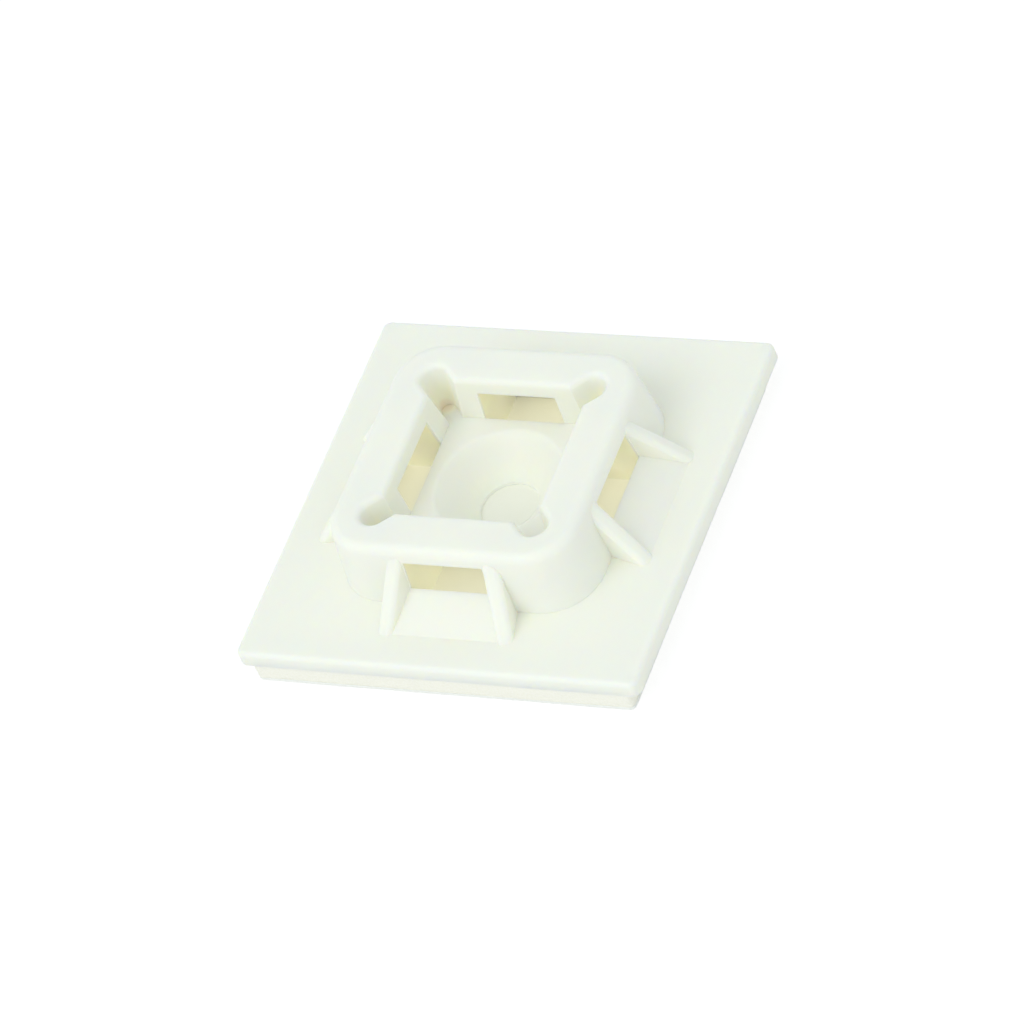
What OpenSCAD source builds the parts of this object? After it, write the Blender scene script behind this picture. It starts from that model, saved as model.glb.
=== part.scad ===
// Self-adhesive four-way cable tie mount: a square nylon plate with a raised frame.
// A tie enters under any bar of the frame and leaves under the bar across from it or beside it.
// Millimetres. The origin is at the centre of the underside, +Z is up and -Y is the front.

/* [Plate] */
// Side of the square plate
plate_side = 28; // [27:0.5:40]
// Thickness of the plate
plate_t = 1.1; // [0.8:0.1:2]
// Radius of the plate's corners, seen from above
plate_corner_r = 0.6; // [0.5:0.1:2]
// Rounding along the plate's top edge
plate_edge_r = 0.35; // [0.1:0.05:0.4]

/* [Adhesive pad] */
// Side of the square foam pad
pad_side = 26.4; // [24:0.1:26.5]
// Radius of the pad's corners, seen from above
pad_corner_r = 0.4; // [0.2:0.1:3]
// Thickness of the foam with its adhesive
foam_t = 1.25; // [0.6:0.05:2]
// Thickness of the release liner
liner_t = 0.2; // [0.1:0.05:0.3]
// How far the pad is stuck towards the front of the plate
pad_shift = 0.75; // [0:0.05:0.8]

/* [Frame] */
// Width of the frame across its foot
frame_side = 18; // [17:0.1:20]
// Height of the frame above the plate
frame_h = 4.7; // [4:0.1:7]
// Corner radius of the frame at its foot
frame_corner_r = 3.5; // [2:0.1:4]
// Rounding along the frame's outer top edge
frame_edge_r = 0.7; // [0.1:0.05:0.9]
// Draft of the frame's outer walls, in degrees
outer_draft = 6; // [4:0.5:10]

/* [Opening] */
// Width of the square opening at the top of the frame
opening_w = 10.9; // [10:0.1:12]
// Draft of the opening's walls, in degrees
inner_draft = 6; // [4:0.5:12]
// Height above the plate of the opening's floor, which is also the sill that a tie slides over
floor_h = 1.45; // [0.8:0.05:1.8]
// Rounding along the opening's top edge
opening_edge_r = 0.45; // [0.1:0.05:0.6]
// Width of the corner notches at the top of the frame
notch_w = 1.9; // [1.6:0.1:2.8]
// Draft of the notches' walls, in degrees
notch_draft = 8; // [2:0.5:12]
// Distance from the middle of the frame to the end of a notch, along the diagonal
notch_reach = 8.85; // [8.5:0.05:9.3]

/* [Tie slots] */
// Width of a tie slot under its bar
slot_w = 5.5; // [4:0.1:6]
// Draft of the ends of a tie slot, in degrees
slot_draft = 2; // [0.5:0.5:4]
// Thickness of the bar over a slot
bar_t = 1.1; // [0.8:0.1:2]
// Length of the ramp in front of a slot, from the foot of the frame
ramp_l = 2.5; // [1.5:0.1:3.5]

/* [Ribs] */
// Thickness of a rib at its crest
rib_t = 1.1; // [0.6:0.05:1.4]
// Rounding along the crest of a rib
rib_edge_r = 0.4; // [0.1:0.05:0.5]
// Draft of the sides of a rib, in degrees
rib_draft = 2.5; // [0.5:0.5:4]
// Height at which the crest of a rib meets the frame, above the plate
rib_h = 3.9; // [3:0.1:4.1]
// Distance from the foot of the frame to the tip of a rib
rib_l = 2.65; // [1.5:0.05:4]
// Sideways distance from the end of a slot to the middle of a rib, at the frame
rib_gap = 0.65; // [0.5:0.05:0.9]
// Angle by which a rib splays outwards, seen from above
rib_splay = 16; // [0:1:25]

/* [Screw seat] */
// Diameter of the screw hole
hole_d = 3.9; // [3:0.1:5]
// Length of the straight wall of the screw hole
hole_land = 0.25; // [0.2:0.05:0.6]
// Diameter of the countersink's rim
seat_d = 8.6; // [7:0.1:9]
// Rounding along the countersink's rim
seat_edge_r = 0.5; // [0.1:0.1:1]

/* [Hidden] */
$fn = 96;

// How far a cutter runs past the face that it opens
past = 1;
// How deep a rib is rooted in the wall that carries it
root = 0.4;
// Number of flat steps in the rounding of a rib's crest, on each side
rib_steps = 8;

nylon = [0.93, 0.93, 0.88];
foam = [0.95, 0.95, 0.93];
paper = [0.97, 0.97, 0.95];

// Heights above the underside
foam_z = liner_t;
plate_z = foam_z + foam_t;
deck_z = plate_z + plate_t;

// Heights and half widths on the deck, the plate's top face
bar_z = frame_h - bar_t;
frame_half = frame_side / 2;
// Half width of the opening's wall planes where they meet the deck
opening_foot = opening_w / 2 - frame_h * tan(inner_draft);

notch_r = notch_w / 2;
seat_depth = floor_h + plate_t - hole_land;
seat_draft = atan((seat_d - hole_d) / 2 / seat_depth);

// Half of a mound's section: its side leans in by the draft, and its shoulder is rounded
module mound_half(half, h, draft, edge_r) {
    shoulder = [half - (h - edge_r) * tan(draft) - edge_r / cos(draft), h - edge_r];
    on_side = shoulder + edge_r * [cos(draft), sin(draft)];
    polygon([[0, 0], [half, 0], on_side, shoulder + [0, edge_r], [0, h]]);
    translate(shoulder) circle(edge_r);
}

module mound(half, h, draft, edge_r) {
    mound_half(half, h, draft, edge_r);
    mirror([1, 0]) mound_half(half, h, draft, edge_r);
}

// Half of a hollow's section, from its floor up to a mouth at depth h: the mouth's lip is rounded
module hollow_half(mouth, h, draft, edge_r) {
    lip = [mouth - edge_r * tan(draft) + edge_r / cos(draft), h - edge_r];
    on_side = lip + edge_r * [-cos(draft), sin(draft)];
    difference() {
        polygon([
            [0, 0], [mouth - h * tan(draft), 0], on_side, lip, [lip.x, h + past], [0, h + past],
        ]);
        translate(lip) circle(edge_r);
    }
}

module hollow(mouth, h, draft, edge_r) {
    hollow_half(mouth, h, draft, edge_r);
    mirror([1, 0]) hollow_half(mouth, h, draft, edge_r);
}

// Extrudes a section, drawn in X and Z, along Y and centred on it
module along_y(length) {
    rotate([90, 0, 0]) linear_extrude(length, center = true) children();
}

// Square block with leaning sides, rounded corners and a rounded top edge
module rounded_block(side, h, corner_r, draft, edge_r) {
    straight = side / 2 - corner_r;
    for (turn = [0, 90])
        rotate(turn) along_y(2 * straight) mound(side / 2, h, draft, edge_r);
    for (x = [-straight, straight], y = [-straight, straight])
        translate([x, y, 0]) rotate_extrude() mound_half(corner_r, h, draft, edge_r);
}

// Puts a copy of a shape from the front of the frame on each of its four sides
module on_each_side() {
    for (turn = [0:90:270]) rotate(turn) children();
}

// The square opening: its four walls lean out towards the top
module opening() {
    h = frame_h - floor_h;
    translate([0, 0, floor_h]) intersection_for(turn = [0, 90])
        rotate(turn) along_y(opening_w + 2 * past) hollow(opening_w / 2, h, inner_draft, opening_edge_r);
}

// The round-ended notch that runs from the middle into the front right corner
module notch() {
    h = frame_h - floor_h;
    length = notch_reach - notch_r;
    translate([0, 0, floor_h]) rotate(45) {
        translate([0, -length / 2, 0])
            along_y(length) hollow(notch_r, h, notch_draft, opening_edge_r);
        translate([0, -length, 0]) rotate(180) rotate_extrude(angle = 180)
            hollow_half(notch_r, h, notch_draft, opening_edge_r);
    }
}

// The pocket under the front bar: it opens the slot inside and out, and goes down through the plate
module pocket() {
    bottom = -plate_t - past;
    flare = (bar_z - bottom) * tan(slot_draft);
    intersection() {
        rotate([90, 0, 90]) linear_extrude(2 * slot_w, center = true) polygon([
            [-frame_half + bottom * tan(outer_draft), bottom],
            [-opening_foot - bottom * tan(inner_draft), bottom],
            [-opening_foot - bar_z * tan(inner_draft), bar_z],
            [-frame_half + bar_z * tan(outer_draft), bar_z],
        ]);
        along_y(2 * plate_side) polygon([
            [-slot_w / 2 - flare, bottom],
            [slot_w / 2 + flare, bottom],
            [slot_w / 2, bar_z],
            [-slot_w / 2, bar_z],
        ]);
    }
}

// The ramp that leads a tie up to the front slot: its ends lie inside the ribs
module ramp() {
    inside = frame_half - root;
    crest = frame_half - floor_h * tan(outer_draft);
    foot = frame_half + ramp_l;
    slope = floor_h / (foot - crest);
    spread = (foot - frame_half) * tan(rib_splay);
    end = slot_w / 2 + rib_gap;
    intersection() {
        rotate([90, 0, 90]) linear_extrude(plate_side, center = true) polygon([
            [-inside, -plate_t / 2],
            [-inside, (foot - inside) * slope],
            [-foot, 0],
            [-foot, -plate_t / 2],
        ]);
        linear_extrude(2 * floor_h + plate_t, center = true) polygon([
            [-end, -inside], [end, -inside], [end + spread, -foot], [-end - spread, -foot],
        ]);
    }
}

// Section across a rib, with its crest at the origin: the crest's rounding is cut in flat steps
module rib_section(depth) {
    shoulder = [rib_t / 2 - rib_edge_r, -rib_edge_r];
    round_side = [for (a = [90:-(90 - rib_draft) / rib_steps:rib_draft])
        shoulder + rib_edge_r * [cos(a), sin(a)]];
    half = concat(round_side, [round_side[rib_steps] + depth * [tan(rib_draft), -1]]);
    polygon(concat(half, [for (i = [len(half) - 1:-1:0]) [-half[i].x, half[i].y]]));
}

// The rib on the right of the front slot: a bar with a rounded crest, laid down at the crest's slope
module rib() {
    reach = frame_half + rib_l;
    at_wall = frame_half - rib_h * tan(outer_draft);
    run = (reach - at_wall) / cos(rib_splay);
    slope = atan(rib_h / run);
    length = (run + 2 * root) / cos(slope);
    intersection() {
        translate([slot_w / 2 + rib_gap, -at_wall, rib_h]) rotate(rib_splay) rotate([slope, 0, 0])
            translate([0, root / cos(slope) - length / 2, 0])
                along_y(length) rib_section(rib_h * cos(slope) + root);
        translate([-plate_side / 2, -plate_side / 2, -plate_t / 2])
            cube([plate_side, plate_side, frame_h]);
    }
}

// The countersunk hole for a screw through the middle of the floor
module screw_seat() {
    translate([0, 0, floor_h - seat_depth])
        rotate_extrude() hollow_half(seat_d / 2, seat_depth, seat_draft, seat_edge_r);
    translate([0, 0, -plate_t - past]) cylinder(d = hole_d, h = floor_h + plate_t + past);
}

// The one-piece nylon moulding
module mount_body() {
    color(nylon) translate([0, 0, deck_z]) difference() {
        union() {
            translate([0, 0, -plate_t])
                rounded_block(plate_side, plate_t, plate_corner_r, 0, plate_edge_r);
            rounded_block(frame_side, frame_h, frame_corner_r, outer_draft, frame_edge_r);
            on_each_side() {
                ramp();
                rib();
                mirror([1, 0, 0]) rib();
            }
        }
        opening();
        on_each_side() {
            notch();
            pocket();
        }
        screw_seat();
    }
}

// A sheet of the pad: square, with rounded corners
module pad_sheet(t) {
    straight = pad_side - 2 * pad_corner_r;
    translate([0, -pad_shift, 0]) linear_extrude(t) {
        square([pad_side, straight], center = true);
        square([straight, pad_side], center = true);
        for (x = [-straight, straight] / 2, y = [-straight, straight] / 2)
            translate([x, y]) circle(pad_corner_r);
    }
}

// The double-sided foam tape stuck under the plate
module foam_tape() {
    color(foam) translate([0, 0, foam_z]) pad_sheet(foam_t);
}

// The paper liner that keeps the lower adhesive covered until use
module release_liner() {
    color(paper) pad_sheet(liner_t);
}

mount_body();
foam_tape();
release_liner();
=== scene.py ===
"""Looks of a self-adhesive four-way cable tie mount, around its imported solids.

Metres, in the frame of the part: the origin is at the centre of the underside, +Z is up and -Y is
the front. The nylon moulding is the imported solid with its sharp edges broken, and the foam tape and
its liner are new surfaces that fill the space of their solids.
"""

import math

import bmesh
import bpy
import numpy as np
from mathutils import Matrix, Vector


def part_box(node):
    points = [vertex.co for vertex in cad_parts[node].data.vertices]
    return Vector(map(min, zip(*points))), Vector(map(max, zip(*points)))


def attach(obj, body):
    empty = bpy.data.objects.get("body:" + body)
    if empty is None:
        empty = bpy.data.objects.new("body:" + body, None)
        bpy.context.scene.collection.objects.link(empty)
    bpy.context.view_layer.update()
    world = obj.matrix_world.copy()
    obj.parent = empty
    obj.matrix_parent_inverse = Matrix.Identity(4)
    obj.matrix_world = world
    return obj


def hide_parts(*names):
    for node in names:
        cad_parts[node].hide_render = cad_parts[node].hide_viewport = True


MM = 0.001

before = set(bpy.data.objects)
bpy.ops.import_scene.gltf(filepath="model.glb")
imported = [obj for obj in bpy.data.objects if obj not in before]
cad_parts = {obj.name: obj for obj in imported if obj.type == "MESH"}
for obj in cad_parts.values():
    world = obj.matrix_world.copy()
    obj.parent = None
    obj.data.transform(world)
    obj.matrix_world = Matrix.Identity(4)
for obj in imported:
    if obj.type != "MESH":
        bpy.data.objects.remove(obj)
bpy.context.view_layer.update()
FOAM_LOW, FOAM_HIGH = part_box("foam_tape")
LINER_LOW, LINER_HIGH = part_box("release_liner")
# The deck is the plate's top face
PLATE_T = 1.1 * MM
DECK_Z = FOAM_HIGH.z + PLATE_T


# ---------------------------------------------------------------- camera

# The camera's place around its aim, in degrees and metres, and how far it leans to one side
AZIMUTH, ELEVATION, ROLL = 39.063, 44.739, -25.817
DISTANCE = 423.7 * MM
AIM = Vector((0.904 * MM, -1.157 * MM, DECK_Z))
LENS_MM, SENSOR_MM = 236.73, 36.0
# Nothing nearer than this is seen
NEAR = 0.01


def add_camera():
    """A long lens that looks down at the part. Its axes are the level ones turned by the roll."""
    azimuth, elevation, roll = (math.radians(a) for a in (AZIMUTH, ELEVATION, ROLL))
    back = Vector(
        (
            math.sin(azimuth) * math.cos(elevation),
            -math.cos(azimuth) * math.cos(elevation),
            math.sin(elevation),
        )
    )
    level = Vector((math.cos(azimuth), math.sin(azimuth), 0.0))
    upright = back.cross(level)
    right = level * math.cos(roll) + upright * math.sin(roll)
    up = upright * math.cos(roll) - level * math.sin(roll)
    lens = bpy.data.cameras.new("camera")
    lens.lens = LENS_MM
    lens.sensor_width = SENSOR_MM
    lens.clip_start = NEAR
    camera = bpy.data.objects.new("camera", lens)
    bpy.context.scene.collection.objects.link(camera)
    turn = Matrix((right, up, back)).transposed().to_4x4()
    camera.matrix_world = Matrix.Translation(AIM + back * DISTANCE) @ turn
    bpy.context.scene.camera = camera


# ---------------------------------------------------------------- what the materials are made with


class Value:
    """A number that varies over a surface: a node's socket, whose arithmetic adds Math nodes."""

    def __init__(self, finish, socket):
        self.finish = finish
        self.socket = socket

    def _math(self, operation, first, second):
        return self.finish.node("ShaderNodeMath", {"operation": operation}, {0: first, 1: second})

    def __add__(self, other):
        return self._math("ADD", self, other)

    def __sub__(self, other):
        return self._math("SUBTRACT", self, other)

    def __rsub__(self, other):
        return self._math("SUBTRACT", other, self)

    def __mul__(self, other):
        return self._math("MULTIPLY", self, other)

    def __abs__(self):
        return self._math("ABSOLUTE", self, 0.0)

    def at_least(self, other):
        return self._math("MAXIMUM", self, other)

    def at_most(self, other):
        return self._math("MINIMUM", self, other)


class Finish:
    """A material in the making: its node tree, and short calls for the patterns it is built from."""

    def __init__(self, name):
        self.material = bpy.data.materials.new(name)
        self.material.use_nodes = True
        self.tree = self.material.node_tree
        self.tree.nodes.clear()
        self.output = self.tree.nodes.new("ShaderNodeOutputMaterial")

    def node(self, kind, settings=None, inputs=None, out=0):
        """Adds a node: its settings first, then its sockets' values or links. Returns one output."""
        made = self.tree.nodes.new(kind)
        for name, value in (settings or {}).items():
            setattr(made, name, value)
        for name, value in (inputs or {}).items():
            if isinstance(value, Value):
                self.tree.links.new(value.socket, made.inputs[name])
            else:
                made.inputs[name].default_value = value
        return Value(self, made.outputs[out])

    def show(self, shader):
        self.tree.links.new(shader.socket, self.output.inputs["Surface"])
        return self.material

    def place(self):
        """The point on the piece, in metres in the part's frame."""
        return self.node("ShaderNodeTexCoord", out="Object")

    def noise(self, size, detail=2.0, roughness=0.5):
        """Cloudy noise from 0 to 1, with features of about size metres."""
        return self.node(
            "ShaderNodeTexNoise",
            {"noise_dimensions": "3D"},
            {"Vector": self.place(), "Scale": 1.0 / size, "Detail": detail, "Roughness": roughness},
        )

    def axes(self):
        """The x, y and z of the point, in metres."""
        split = self.tree.nodes.new("ShaderNodeSeparateXYZ")
        self.tree.links.new(self.place().socket, split.inputs[0])
        return [Value(self, socket) for socket in split.outputs]

    def ramp(self, value, low, high, to_low=0.0, to_high=1.0):
        """Carries low..high over to to_low..to_high in a smooth step, and holds it outside."""
        return self.node(
            "ShaderNodeMapRange",
            {"interpolation_type": "SMOOTHSTEP"},
            {"Value": value, 1: low, 2: high, 3: to_low, 4: to_high},
        )

    def above(self, value, edge, soft):
        """0 up to the edge, and 1 from soft beyond it."""
        return self.ramp(value, edge, edge + soft)

    def below(self, value, edge, soft):
        """1 up to the edge, and 0 from soft beyond it."""
        return self.ramp(value, edge, edge + soft, 1.0, 0.0)

    def towards_side(self):
        """How far out the point is towards its side, how far from that side's middle, and z."""
        x, y, z = self.axes()
        return abs(x).at_least(abs(y)), abs(x).at_most(abs(y)), z

    def towards_corner(self):
        """How far out the point is along its corner's diagonal, how far beside the diagonal, and z."""
        x, y, z = self.axes()
        return (abs(x) + abs(y)) * math.sqrt(0.5), abs(abs(x) - abs(y)) * math.sqrt(0.5), z

    def tint(self, amount, low, high):
        """A colour from low to high by amount, each of them a colour or a pattern of colours."""
        first, second = (end if isinstance(end, Value) else (*end, 1.0) for end in (low, high))
        return self.node(
            "ShaderNodeMix", {"data_type": "RGBA"}, {0: amount, 6: first, 7: second}, out=2
        )

    def bump(self, height, depth):
        """A normal for a relief of depth metres times height."""
        return self.node(
            "ShaderNodeBump", None, {"Strength": 1.0, "Distance": depth, "Height": height}
        )


def srgb(red, green, blue):
    """The linear colour of a colour given as 0 to 255 on screen."""
    screen = np.array([red, green, blue]) / 255.0
    return tuple(np.where(screen <= 0.04045, screen / 12.92, ((screen + 0.055) / 1.055) ** 2.4))


# ---------------------------------------------------------------- floor and light

# The floor as the camera and mirrors see it: a pale surface, lifted until only shade tells it from white
FLOOR_SIDE = 4.0
FLOOR_Z = -0.02 * MM
FLOOR_SHADE = (0.30, 0.30, 0.30, 1.0)
FLOOR_GLOW = 0.78
# The floor as the part sees it
FLOOR_BOUNCE = (0.90, 0.88, 0.85, 1.0)
WHITE = (1.0, 1.0, 1.0, 1.0)


def add_floor():
    """A wide floor just under the part. It looks white, and lights the part like plain pale paper."""
    f = Finish("floor")
    light_path = f.tree.nodes.new("ShaderNodeLightPath")
    camera, mirror, glass = (
        Value(f, light_path.outputs[name])
        for name in ("Is Camera Ray", "Is Glossy Ray", "Is Transmission Ray")
    )
    shaded = f.node("ShaderNodeBsdfDiffuse", None, {"Color": FLOOR_SHADE})
    glow = f.node("ShaderNodeEmission", None, {"Color": WHITE, "Strength": FLOOR_GLOW})
    white = f.node("ShaderNodeAddShader", None, {0: shaded, 1: glow})
    bounce = f.node("ShaderNodeBsdfDiffuse", None, {"Color": FLOOR_BOUNCE})
    seen = camera + mirror + glass
    material = f.show(f.node("ShaderNodeMixShader", None, {0: seen, 1: bounce, 2: white}))
    bpy.ops.mesh.primitive_plane_add(size=FLOOR_SIDE, location=(0, 0, FLOOR_Z))
    floor = bpy.context.object
    floor.name = "floor"
    floor.data.materials.append(material)


# The room's light, from all around
ROOM_COLOUR = (0.90, 0.965, 1.0, 1.0)
ROOM_STRENGTH = 0.80


def add_lamp(name, place, size, power, colour):
    """A square soft box at place, turned to the part."""
    lamp = bpy.data.lights.new(name, "AREA")
    lamp.shape = "SQUARE"
    lamp.size = size
    lamp.energy = power
    lamp.color = colour
    piece = bpy.data.objects.new(name, lamp)
    bpy.context.scene.collection.objects.link(piece)
    turn = Vector(place).to_track_quat("Z", "Y").to_matrix().to_4x4()
    piece.matrix_world = Matrix.Translation(place) @ turn


def add_light():
    """A broad soft box on the front left, a faint one low on the right, and the pale room around."""
    world = bpy.data.worlds.new("room")
    bpy.context.scene.world = world
    world.use_nodes = True
    room = world.node_tree.nodes["Background"]
    room.inputs["Color"].default_value = ROOM_COLOUR
    room.inputs["Strength"].default_value = ROOM_STRENGTH
    add_lamp("key", (-0.35, -0.75, 1.1), size=0.9, power=5.1, colour=(0.985, 0.985, 0.965))
    add_lamp("fill", (0.9, -0.4, 0.25), size=0.6, power=0.5, colour=(1.0, 1.0, 1.0))


# ---------------------------------------------------------------- finishes

# How softly the areas below end
SOFT = 0.1 * MM

# The hollows behind the tie slots. They lie between the opening's wall and the frame's face, which both
# lean and are this far out at the deck. The broken edges along both stay outside
WALL_OUT, FACE_OUT = 4.96 * MM, 9.0 * MM
LEAN = math.tan(math.radians(6))
EDGE_ROOM = 0.1 * MM
# Half of a hollow's width, just past its side walls, and its height, just past the bar's underside
HOLLOW_HALF = 2.9 * MM
HOLLOW_TOP = DECK_Z + 3.63 * MM


def in_hollow(f):
    """1 in the four hollows behind the tie slots, and 0 outside."""
    out, beside, z = f.towards_side()
    lean = (z - DECK_Z) * LEAN
    return (
        f.above(out - lean, WALL_OUT + EDGE_ROOM, 2 * SOFT)
        * f.below(out + lean, FACE_OUT - EDGE_ROOM - SOFT, SOFT)
        * f.below(beside, HOLLOW_HALF, SOFT)
        * f.below(z, HOLLOW_TOP, SOFT)
    )


# The pockets through the plate at the hollows' feet, just past their walls: the foam lies open in them
POCKET_IN, POCKET_OUT = 4.6 * MM, 9.25 * MM
POCKET_HALF = 2.95 * MM


def in_pocket(f):
    """1 on the foam in the four pockets, and 0 where the plate covers it."""
    out, beside, _ = f.towards_side()
    return (
        f.above(out, POCKET_IN, SOFT)
        * f.below(out, POCKET_OUT, SOFT)
        * f.below(beside, POCKET_HALF, SOFT)
    )


# A little more than the screw hole's radius, and the height of its wall
HOLE_R = 2.0 * MM
HOLE_LAND = 0.25 * MM


def beside_hole(f):
    """0 in the screw hole and on its wall, and 1 around it."""
    x, y, _ = f.axes()
    return f.ramp(x * x + y * y, HOLE_R**2, (HOLE_R + SOFT) ** 2)


# The notches in the opening's corners: from where to where they run along the diagonal, half their
# width, and the heights between which they darken and take on their painted glow and yellow
NOTCH_IN, NOTCH_OUT = 7.4 * MM, 8.9 * MM
NOTCH_HALF = 1.0 * MM
NOTCH_DARK_Z, NOTCH_LIGHT_Z = DECK_Z + 2.4 * MM, DECK_Z + 4.3 * MM


def in_notch(f):
    """1 low in the four notches in the opening's corners, and 0 at their mouths and outside."""
    out, beside, z = f.towards_corner()
    return (
        f.above(out, NOTCH_IN, 5 * SOFT)
        * f.below(out, NOTCH_OUT, SOFT)
        * f.below(beside, NOTCH_HALF, SOFT)
        * f.below(z, NOTCH_DARK_Z, NOTCH_LIGHT_Z - NOTCH_DARK_Z)
    )


# The foot of a notch's round end, along the diagonal and in height, and how far the painted brown shade
# there reaches
NOOK_OUT, NOOK_Z = 8.35 * MM, DECK_Z + 1.45 * MM
NOOK_R = 0.7 * MM
PAINTED_NOOK_SHADE = (0.88, 0.78, 0.60)


def in_nook(f):
    """1 at the foot of each notch's round end, fading out around it: where the painted shade goes."""
    out, beside, z = f.towards_corner()
    out, height = out - NOOK_OUT, z - NOOK_Z
    return f.below(out * out + beside * beside + height * height, 0.0, NOOK_R**2)


# A painted glow that stands in for light that has crossed the nylon's thin walls, as it shows at the
# foot of the hollows' walls, and the shares of it at their top, on the foam between them, in the notches
# and on the screw hole's wall
PAINTED_GLOW = (0.182, 0.180, 0.160)
TOP_SHARE, FOAM_SHARE = 0.32, 0.83
NOTCH_SHARE, HOLE_SHARE = 0.22, 0.68
DARK = (0.0, 0.0, 0.0)
# Height from which the hollows' walls have only the share of their top
TOP_Z = DECK_Z + 3.03 * MM
# A painted yellow that stands in for light passed through the nylon, full in the hollows, and how much
# of it shows in the notches and on the foam
PAINTED_LIT_YELLOW = (0.95, 0.90, 0.66)
NOTCH_LIT_YELLOW, FOAM_LIT_YELLOW = 0.6, 0.5


def nylon_finish():
    """Natural nylon: satin, a little translucent, with a faint moulded texture. A painted glow and
    yellow stand in for the light that crosses its thin walls into the hollows and notches, a painted
    glow lights the screw hole's wall, and a painted brown shade darkens the foot of each notch's round
    end.
    """
    f = Finish("natural_nylon")
    cloud = f.noise(5.0 * MM, detail=3.0)
    hollow, notch = in_hollow(f), in_notch(f)
    skin_colour = f.tint(cloud, (0.935, 0.935, 0.83), (0.945, 0.945, 0.84))
    # Painted yellow of light passed through the nylon, in the hollows and notches
    lit_yellowed = f.tint(hollow.at_least(notch * NOTCH_LIT_YELLOW), skin_colour, PAINTED_LIT_YELLOW)
    z = f.axes()[2]
    foot = f.ramp(z, DECK_Z, TOP_Z, 1.0, TOP_SHARE)
    hole_wall = (1.0 - beside_hole(f)) * f.below(z, FOAM_HIGH.z, HOLE_LAND)
    # Painted glow: emission for light that has crossed the thin walls, in the hollows, the notches and
    # on the screw hole's wall
    painted_glow = (hollow * foot).at_least(notch * NOTCH_SHARE).at_least(hole_wall * HOLE_SHARE)
    grain = f.noise(0.35 * MM, detail=3.0, roughness=0.6)
    wave = f.noise(2.6 * MM, detail=2.0)
    relief = grain * 0.35 + wave
    skin = f.node(
        "ShaderNodeBsdfPrincipled",
        None,
        {
            # Painted brown shade at the foot of each notch's round end
            "Base Color": f.tint(in_nook(f), lit_yellowed, PAINTED_NOOK_SHADE),
            "Roughness": f.ramp(grain, 0.3, 0.7, 0.46, 0.56),
            "IOR": 1.53,
            "Normal": f.bump(relief, 0.012 * MM),
            "Subsurface Weight": 0.7,
            "Subsurface Radius": (1.0, 0.85, 0.5),
            "Subsurface Scale": 0.8 * MM,
            "Emission Color": f.tint(painted_glow, DARK, PAINTED_GLOW),
            "Emission Strength": 1.0,
        },
    )
    return f.show(skin)


# A painted glow on the foam's face under the plate, for light that the white foam throws back into the
# plate on top of it, and half the width of the area that glows: it stays clear of the foam's edges
PAINTED_BACK_GLOW = (0.24, 0.28, 0.32)
COVERED_HALF = 12.6 * MM
# How far under its face the foam's cut edge ends, and where the glue on the face is whole
CUT_TOP, GLUE_LOW = 0.03 * MM, 0.015 * MM


def covered(f):
    """1 where the plate lies on the foam, and 0 at the foam's edges and where it lies open."""
    out, _, _ = f.towards_side()
    return (1.0 - in_pocket(f)) * beside_hole(f) * f.below(out, COVERED_HALF, SOFT)


def foam_finish():
    """Closed-cell foam tape: a cut, cellular edge, and a clear glue film on its faces. A painted glow
    and yellow lie on its face in the pockets, and a painted glow on its face under the plate.
    """
    f = Finish("foam_edge")
    cells = f.noise(0.16 * MM, detail=3.0, roughness=0.65)
    cut = f.tint(f.ramp(cells, 0.35, 0.65), (0.965, 0.945, 0.835), (0.995, 0.975, 0.89))
    glue = f.tint(f.noise(0.8 * MM, detail=3.0), (0.91, 0.91, 0.81), (0.93, 0.93, 0.84))
    on_face = f.ramp(f.axes()[2], FOAM_HIGH.z - CUT_TOP, FOAM_HIGH.z - GLUE_LOW)
    pocket = in_pocket(f)
    colour = f.tint(on_face, cut, glue)
    # Painted glow on the foam's face in the pockets, for light that has crossed the nylon's walls
    painted_glow = f.tint(pocket * on_face * FOAM_SHARE, DARK, PAINTED_GLOW)
    skin = f.node(
        "ShaderNodeBsdfPrincipled",
        None,
        {
            # Painted yellow of light passed through the nylon, on the foam in the pockets
            "Base Color": f.tint(pocket * FOAM_LIT_YELLOW, colour, PAINTED_LIT_YELLOW),
            "Roughness": f.ramp(on_face, 0.0, 1.0, 0.85, 0.5),
            "Normal": f.bump(cells * (1.0 - on_face * 0.8), 0.05 * MM),
            # Painted glow on the foam's face under the plate, for light it throws back into the nylon
            "Emission Color": f.tint(covered(f) * on_face, painted_glow, PAINTED_BACK_GLOW),
            "Emission Strength": 1.0,
        },
    )
    return f.show(skin)


def liner_finish():
    """Coated white paper with faint fibres."""
    f = Finish("liner_paper")
    fibre = f.noise(0.5 * MM, detail=4.0, roughness=0.7)
    colour = f.tint(fibre, srgb(243, 244, 239), srgb(249, 250, 246))
    skin = f.node(
        "ShaderNodeBsdfPrincipled",
        None,
        {"Base Color": colour, "Roughness": 0.6, "Normal": f.bump(fibre, 0.01 * MM)},
    )
    return f.show(skin)


# ---------------------------------------------------------------- the pieces

# How far the moulding's sharp edges are broken, and the turn between two faces that makes an edge sharp
EDGE_BREAK = 0.07 * MM
SHARP = math.radians(26)
# What counts as one point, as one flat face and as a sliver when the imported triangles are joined
ONE_POINT = 0.0005 * MM
ONE_FACE = math.radians(0.3)
SLIVER = 0.003 * MM


def add_piece(name, mesh, finish, node):
    """Puts mesh in the scene as a piece that stands for node."""
    mesh.materials.clear()
    mesh.materials.append(finish)
    piece = bpy.data.objects.new(name, mesh)
    bpy.context.scene.collection.objects.link(piece)
    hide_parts(node)
    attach(piece, "root")
    return piece


# How near to the foam's face a corner lies on it
ON_FACE = 0.01 * MM


def on_foam(vert):
    """Whether a corner of the moulding lies on the foam tape's face."""
    x, y, z = vert.co
    inside = FOAM_LOW.x < x < FOAM_HIGH.x and FOAM_LOW.y < y < FOAM_HIGH.y
    return inside and z < FOAM_HIGH.z + ON_FACE


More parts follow.
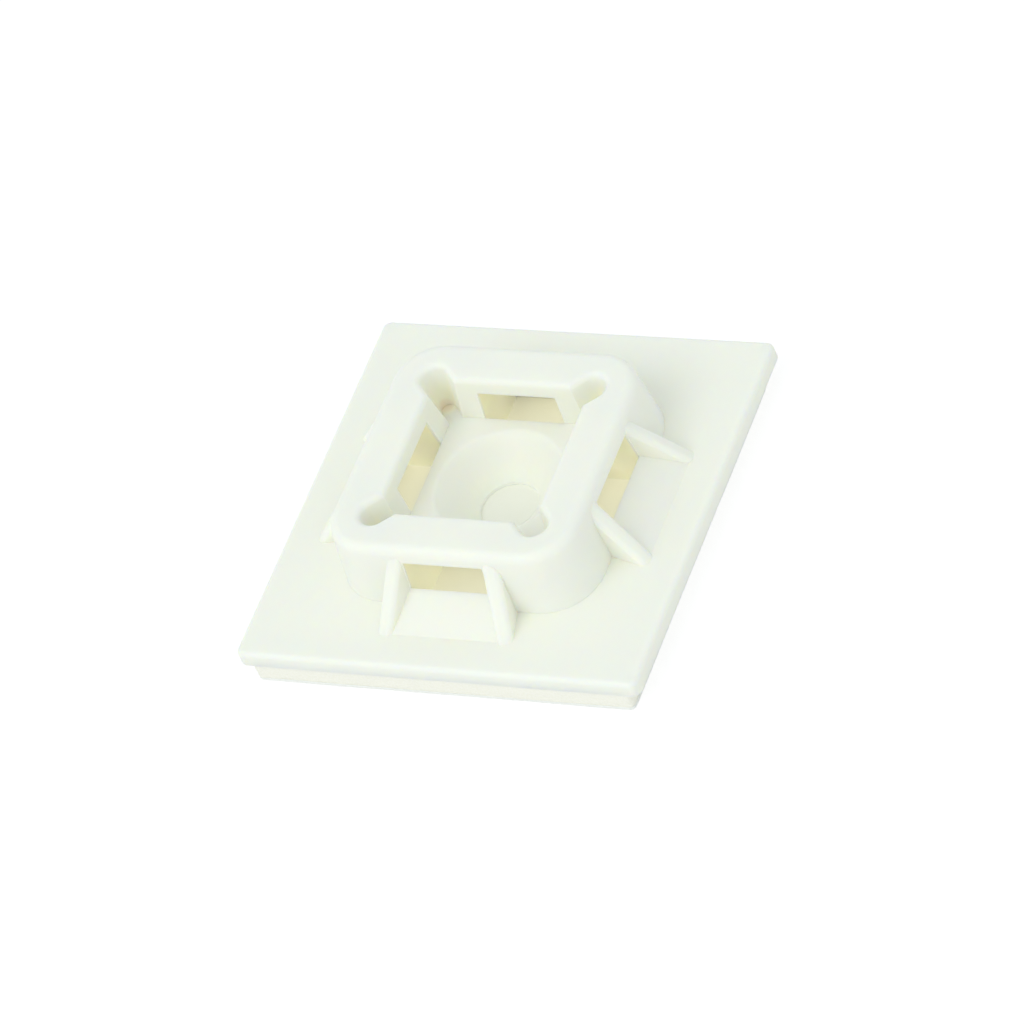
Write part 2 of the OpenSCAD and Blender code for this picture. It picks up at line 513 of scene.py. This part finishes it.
def add_moulding():
    """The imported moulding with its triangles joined, its walls smooth and its sharp edges broken.

    The edges that lie on the foam tape stay sharp, so that no groove shows between the two.
    """
    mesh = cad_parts["mount_body"].data.copy()
    shape = bmesh.new()
    shape.from_mesh(mesh)
    bmesh.ops.remove_doubles(shape, verts=shape.verts, dist=ONE_POINT)
    bmesh.ops.dissolve_limit(shape, angle_limit=ONE_FACE, verts=shape.verts, edges=shape.edges)
    bmesh.ops.dissolve_degenerate(shape, dist=SLIVER, edges=shape.edges)
    for face in shape.faces:
        face.smooth = True
    weight = shape.edges.layers.float.new("bevel_weight_edge")
    for edge in shape.edges:
        if edge.calc_face_angle(0.0) > SHARP:
            edge.smooth = not all(on_foam(vert) for vert in edge.verts)
            edge[weight] = float(edge.smooth)
    shape.to_mesh(mesh)
    shape.free()
    piece = add_piece("nylon_moulding", mesh, nylon_finish(), "mount_body")
    broken = piece.modifiers.new("broken edges", "BEVEL")
    broken.width = EDGE_BREAK
    broken.segments = 2
    broken.limit_method = "WEIGHT"
    broken.use_clamp_overlap = True
    evened = piece.modifiers.new("flat faces", "WEIGHTED_NORMAL")
    evened.mode = "FACE_AREA"
    evened.weight = 60
    evened.keep_sharp = True


def smooth_noise(turns, count, waves, generator):
    """A curve of turns (0 to 1) that closes: count sines of under waves waves, from about -1 to 1."""
    curve = np.zeros_like(turns)
    for _ in range(count):
        wave = generator.integers(2, waves)
        curve += np.sin(2 * math.pi * (wave * turns + generator.random()))
    return curve / math.sqrt(count)


# A slab's outline: its points along a side and around a corner
SIDE_STEPS, CORNER_STEPS = 160, 12
# The heights of its levels, as shares of its own, and how far each is drawn in, in edge radii
LEVELS = np.array([0.0, 0.0, 0.04, 0.16, 0.35, 0.5, 0.65, 0.84, 0.96, 1.0, 1.0])
DRAWN_IN = np.array([2.5, 1.0, 0.3, 0.0, 0.0, 0.0, 0.0, 0.0, 0.3, 1.0, 2.5])
# The slow and the fine waviness of its cut: the number of sines, the limit of their waves, the share
SLOW_SINES, SLOW_WAVES, SLOW_SHARE = 5, 20, 0.6
FINE_SINES, FINE_WAVES, FINE_SHARE = 12, 220, 0.4


def slab(name, low, high, corner_r, edge_r, rough, seed):
    """A thin square slab between the corners low and high, with cut edges that wander by about rough.

    Its outline is a square with corners of radius corner_r. Each level is that outline, drawn in
    near the top and bottom by edge_r, and pushed in and out by the same slow waves and its own
    fine ones.
    """
    half = (high.x - low.x) / 2
    centre = np.array([(low.x + high.x) / 2, (low.y + high.y) / 2])
    straight = half - corner_r
    along = np.linspace(0, 1, SIDE_STEPS, endpoint=False)
    bend = np.linspace(0, math.pi / 2, CORNER_STEPS, endpoint=False)
    outline, normal = [], []
    for quarter in range(4):
        turn = quarter * math.pi / 2
        spin = np.array([[math.cos(turn), math.sin(turn)], [-math.sin(turn), math.cos(turn)]])
        edge = np.stack([np.full_like(along, half), straight * (2 * along - 1)], 1)
        out = np.tile([1.0, 0.0], (len(along), 1))
        arc_out = np.stack([np.cos(bend), np.sin(bend)], 1)
        arc = straight + corner_r * arc_out
        outline += [edge @ spin, arc @ spin]
        normal += [out @ spin, arc_out @ spin]
    outline, normal = np.concatenate(outline), np.concatenate(normal)
    turns = np.arange(len(outline)) / len(outline)
    generator = np.random.default_rng(seed)
    slow = smooth_noise(turns, SLOW_SINES, SLOW_WAVES, generator)
    rings = []
    for level, drawn_in in zip(LEVELS, DRAWN_IN):
        fine = smooth_noise(turns, FINE_SINES, FINE_WAVES, generator)
        push = rough * (SLOW_SHARE * slow + FINE_SHARE * fine - 1) - drawn_in * edge_r
        place = centre + outline + normal * push[:, None]
        height = np.full((len(place), 1), low.z + (high.z - low.z) * level)
        rings.append(np.concatenate([place, height], 1))
    points = np.concatenate(rings)
    count = len(outline)
    ring, spot = np.meshgrid(np.arange(len(rings) - 1), np.arange(count), indexing="ij")
    after = (spot + 1) % count
    quads = np.stack(
        [ring * count + spot, ring * count + after, (ring + 1) * count + after,
         (ring + 1) * count + spot], -1
    ).reshape(-1, 4)
    faces = quads.tolist()
    faces.append(list(range(count))[::-1])
    faces.append(list(range((len(rings) - 1) * count, len(rings) * count)))
    mesh = bpy.data.meshes.new(name)
    mesh.from_pydata(points.tolist(), [], faces)
    mesh.polygons.foreach_set("use_smooth", np.ones(len(mesh.polygons), bool))
    mesh.validate()
    return mesh


# The foam stays this far below the plate, so that light can pass between the two
FOAM_GAP = Vector((0.0, 0.0, 0.005 * MM))
# The radius of the pad's and the liner's corners
PAD_CORNER_R = 0.4 * MM


def add_pad():
    """The foam tape under the plate, and the liner that is left on its underside."""
    tape = slab(
        "foam_tape_cut", FOAM_LOW, FOAM_HIGH - FOAM_GAP,
        PAD_CORNER_R, edge_r=0.02 * MM, rough=0.025 * MM, seed=11,
    )
    foam = add_piece("foam_tape_cut", tape, foam_finish(), "foam_tape")
    sheet = slab(
        "liner_sheet", LINER_LOW, LINER_HIGH,
        PAD_CORNER_R, edge_r=0.01 * MM, rough=0.015 * MM, seed=12,
    )
    add_piece("liner_sheet", sheet, liner_finish(), "release_liner")


bpy.context.scene.view_settings.view_transform = "Standard"
add_camera()
add_floor()
add_light()
add_moulding()
add_pad()
